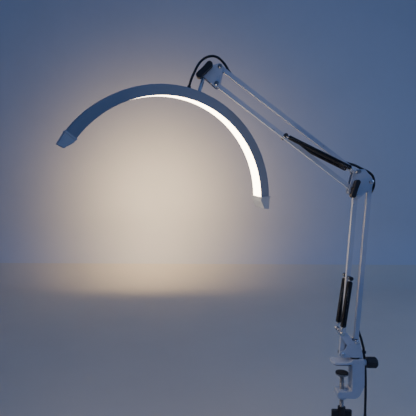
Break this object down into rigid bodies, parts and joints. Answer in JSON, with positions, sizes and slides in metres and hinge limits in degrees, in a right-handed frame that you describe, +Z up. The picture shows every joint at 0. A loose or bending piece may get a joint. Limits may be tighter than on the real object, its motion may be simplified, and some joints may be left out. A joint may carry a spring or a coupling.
{
  "type": "work lamp",
  "caption": "Half-moon LED work light on a spring-balanced parallel swing arm with a table clamp, pivoting head, wing knobs and a stored supply cable with dimmer",
  "frame": {"origin": "middle of the jaw pad's underside, where the top of the table lies", "axes": "X along the arms, from the head towards the clamp; Y away from the near side of the arms; Z up"},
  "size_m": [0.7565, 0.2892, 1.0418],
  "materials": {
    "white_paint": "white powder coat, satin",
    "arc_housing": "white anodised extrusion, satin",
    "cap_white": "moulded white plastic",
    "diffuser": "opal diffuser, lit warm white",
    "led_board": "white board with chips",
    "black_plastic": "moulded black plastic",
    "black_spring": "black oxide spring wire",
    "bright_metal": "nickel plated",
    "steel": "zinc plated",
    "rubber": "black rubber",
    "cable_jacket": "black cable jacket"
  },
  "bodies": {
    "clamp": {"clamp_frame": "white_paint", "jaw_pad": "rubber", "post_bush": "black_plastic", "supply_cable": "cable_jacket", "cable_coil": "cable_jacket", "usb_plug": "black_plastic", "coil_tie": "rubber", "dimmer_front": "black_plastic", "dimmer_back": "black_plastic"},
    "pressure_pad": {"pressure_plate": "steel", "pressure_rubber": "rubber"},
    "clamp_screw": {"clamp_screw": "steel", "clamp_handle": "black_plastic"},
    "lock_knob": {"lock_knob": "black_plastic"},
    "base_bracket": {"base_post": "steel", "base_bracket": "white_paint", "base_bolts": "bright_metal", "base_spacers": "black_plastic", "spring_anchor": "bright_metal", "cable_clip": "black_plastic", "cable_foot": "cable_jacket", "lower_spring_near": "black_spring", "lower_spring_far": "black_spring"},
    "lower_rear_bar": {"lower_rear_bar": "white_paint"},
    "lower_front_bar": {"lower_front_bar": "white_paint", "lower_spring_pin": "black_plastic"},
    "elbow": {"elbow_plate_near": "white_paint", "elbow_plate_far": "white_paint", "elbow_bolts": "bright_metal", "elbow_spacers": "black_plastic", "elbow_spring_pin": "steel", "cable_elbow": "cable_jacket", "upper_spring_near": "black_spring", "upper_spring_far": "black_spring"},
    "elbow_knob": {"elbow_knob": "black_plastic"},
    "upper_top_bar": {"upper_top_bar": "white_paint"},
    "upper_bottom_bar": {"upper_bottom_bar": "white_paint", "upper_spring_pin": "black_plastic"},
    "head_bracket": {"head_plate_near": "white_paint", "head_plate_far": "white_paint", "head_bolts": "steel", "head_spacers": "black_plastic", "cable_head": "cable_jacket"},
    "head_knob": {"head_knob": "black_plastic"},
    "head_stud": {"head_stud": "bright_metal", "stud_nut": "steel"},
    "lamp_head": {"arc_profile": "arc_housing", "arc_diffuser": "diffuser", "led_strip": "led_board", "end_cap_left": "cap_white", "end_cap_right": "cap_white", "cable_gland": "black_plastic"},
    "dimmer_key_1": {"dimmer_key_1": "black_plastic"},
    "dimmer_key_2": {"dimmer_key_2": "black_plastic"},
    "dimmer_key_3": {"dimmer_key_3": "black_plastic"}
  },
  "joints": [
    {"name": "jaw_slide", "type": "slide", "parent": "clamp", "child": "pressure_pad", "axis": [0, 0, 1], "range_m": [-0.0305, 0.02]},
    {"name": "screw_turn", "type": "hinge", "parent": "pressure_pad", "child": "clamp_screw", "pos_m": [0, 0, -0.03], "axis": [0, 0, 1], "range_deg": [-8200, 4850]},
    {"name": "lock_turn", "type": "hinge", "parent": "clamp", "child": "lock_knob", "pos_m": [0.0577, 0, 0.002], "axis": [1, 0, 0], "range_deg": [-180, 180]},
    {"name": "base_swivel", "type": "hinge", "parent": "clamp", "child": "base_bracket", "pos_m": [0.03, 0, 0.017], "axis": [0, 0, 1], "range_deg": [-170, 170], "deforming": ["supply_cable"]},
    {"name": "lower_arm", "type": "hinge", "parent": "base_bracket", "child": "lower_rear_bar", "pos_m": [0.032, 0, 0.054], "axis": [0, 1, 0], "range_deg": [-55, 20], "deforming": ["cable_foot"]},
    {"name": "lower_front_pivot", "type": "hinge", "parent": "base_bracket", "child": "lower_front_bar", "pos_m": [-0.002, 0, 0.024], "axis": [0, 1, 0], "range_deg": [-56, 21], "deforming": ["lower_spring_near", "lower_spring_far"]},
    {"name": "elbow_level", "type": "hinge", "parent": "lower_rear_bar", "child": "elbow", "pos_m": [0.06148, 0, 0.43285], "axis": [0, 1, 0], "range_deg": [-21, 56]},
    {"name": "upper_arm", "type": "hinge", "parent": "elbow", "child": "upper_top_bar", "pos_m": [0.02778, 0, 0.45585], "axis": [0, 1, 0], "range_deg": [-50, 30], "deforming": ["cable_elbow"]},
    {"name": "upper_bottom_pivot", "type": "hinge", "parent": "elbow", "child": "upper_bottom_bar", "pos_m": [0.01978, 0, 0.41585], "axis": [0, 1, 0], "range_deg": [-51, 31], "deforming": ["upper_spring_near", "upper_spring_far"]},
    {"name": "elbow_knob_turn", "type": "hinge", "parent": "elbow", "child": "elbow_knob", "pos_m": [0.01978, 0, 0.41585], "axis": [0, 1, 0], "range_deg": [-150, 150]},
    {"name": "head_level", "type": "hinge", "parent": "upper_top_bar", "child": "head_bracket", "pos_m": [-0.29223, 0, 0.70408], "axis": [0, 1, 0], "range_deg": [-31, 51], "deforming": ["cable_head"]},
    {"name": "head_knob_turn", "type": "hinge", "parent": "head_bracket", "child": "head_knob", "pos_m": [-0.32843, 0, 0.69108], "axis": [0, 1, 0], "range_deg": [-150, 150]},
    {"name": "head_tilt", "type": "hinge", "parent": "head_bracket", "child": "head_stud", "pos_m": [-0.32843, 0, 0.69108], "axis": [0, 1, 0], "range_deg": [-12, 45]},
    {"name": "head_swivel", "type": "hinge", "parent": "head_stud", "child": "lamp_head", "pos_m": [-0.32843, 0, 0.69108], "axis": [0.2882, 0, 0.9576], "range_deg": [-60, 60]},
    {"name": "dimmer_key_1_press", "type": "slide", "parent": "clamp", "child": "dimmer_key_1", "axis": [0, 1, 0], "range_m": [0, 0.0007], "stiffness_N_per_m": 400},
    {"name": "dimmer_key_2_press", "type": "slide", "parent": "clamp", "child": "dimmer_key_2", "axis": [0, 1, 0], "range_m": [0, 0.0007], "stiffness_N_per_m": 400},
    {"name": "dimmer_key_3_press", "type": "slide", "parent": "clamp", "child": "dimmer_key_3", "axis": [0, 1, 0], "range_m": [0, 0.0007], "stiffness_N_per_m": 400}
  ],
  "couplings": [
    {"joint": "screw_turn", "follows": "jaw_slide", "rad_per_m": 4188.8},
    {"joint": "lower_front_pivot", "follows": "lower_arm", "ratio": 1},
    {"joint": "elbow_level", "follows": "lower_arm", "ratio": -1},
    {"joint": "upper_bottom_pivot", "follows": "upper_arm", "ratio": 1},
    {"joint": "head_level", "follows": "upper_arm", "ratio": -1}
  ]
}
